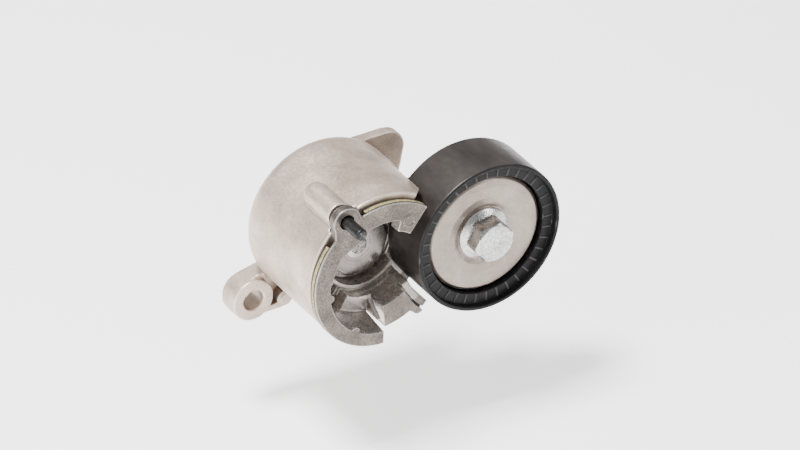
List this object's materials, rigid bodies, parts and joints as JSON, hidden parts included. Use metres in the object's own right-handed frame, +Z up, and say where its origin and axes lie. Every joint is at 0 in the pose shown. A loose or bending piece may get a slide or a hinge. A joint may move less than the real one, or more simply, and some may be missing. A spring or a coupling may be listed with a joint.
{
  "type": "belt tensioner",
  "caption": "Cast belt tensioner: a cup housing with a sprung swing arm that carries a smooth idler pulley, held at its working end by a lock pin.",
  "frame": {"origin": "where the pivot axis meets the flat mounting face at the back of the housing", "axes": "+Y out of the mounting face, so the front with the pulley faces -Y; +X from the pivot towards the pulley; +Z up"},
  "size_m": [0.1208, 0.0694, 0.0734],
  "materials": {
    "cast_aluminium": "rough cast",
    "steel_disc": "turned",
    "steel": "machined",
    "black_steel": "blackened",
    "spring_steel": "oiled",
    "cover_steel": "zinc plated",
    "bolt_steel": "zinc plated",
    "friction_lining": "granular",
    "nylon": "moulded",
    "bush_bronze": "sintered",
    "pulley_plastic": "moulded",
    "seal_rubber": "moulded"
  },
  "bodies": {
    "root": {"housing": "cast_aluminium", "pivot_pin": "steel", "pivot_disc": "steel_disc", "thrust_washer": "nylon", "torsion_spring": "spring_steel", "spring_seat": "nylon", "damping_sleeve": "nylon"},
    "arm": {"arm": "cast_aluminium", "rear_bush": "bush_bronze", "front_bush": "bush_bronze", "friction_segment_upper": "friction_lining", "friction_segment_lower": "friction_lining", "bearing_inner_ring": "steel", "bearing_sleeve": "steel", "rear_spacer": "steel", "rear_shield": "cover_steel", "dust_cover": "cover_steel", "pulley_bolt": "bolt_steel"},
    "pulley": {"pulley": "pulley_plastic", "bearing_outer_ring": "steel", "front_seal": "seal_rubber", "rear_seal": "seal_rubber"},
    "ball_set": {"bearing_balls": "steel", "ball_cage": "nylon"},
    "lock_pin": {"lock_pin": "black_steel"}
  },
  "joints": [
    {"name": "arm_swing", "type": "hinge", "parent": "root", "child": "arm", "pos_m": [0, 0, 0], "axis": [0, -1, 0], "range_deg": [-35, 3]},
    {"name": "pulley_spin", "type": "hinge", "parent": "arm", "child": "pulley", "pos_m": [0.0467, -0.0464, 0], "axis": [0, -1, 0], "continuous": true},
    {"name": "cage_spin", "type": "hinge", "parent": "arm", "child": "ball_set", "pos_m": [0.0467, -0.0464, 0], "axis": [0, -1, 0], "continuous": true},
    {"name": "lock_pin_pull", "type": "slide", "parent": "arm", "child": "lock_pin", "axis": [0, -1, 0], "range_m": [0, 0.025]}
  ],
  "couplings": [
    {"joint": "cage_spin", "follows": "pulley_spin", "ratio": 0.6182}
  ]
}
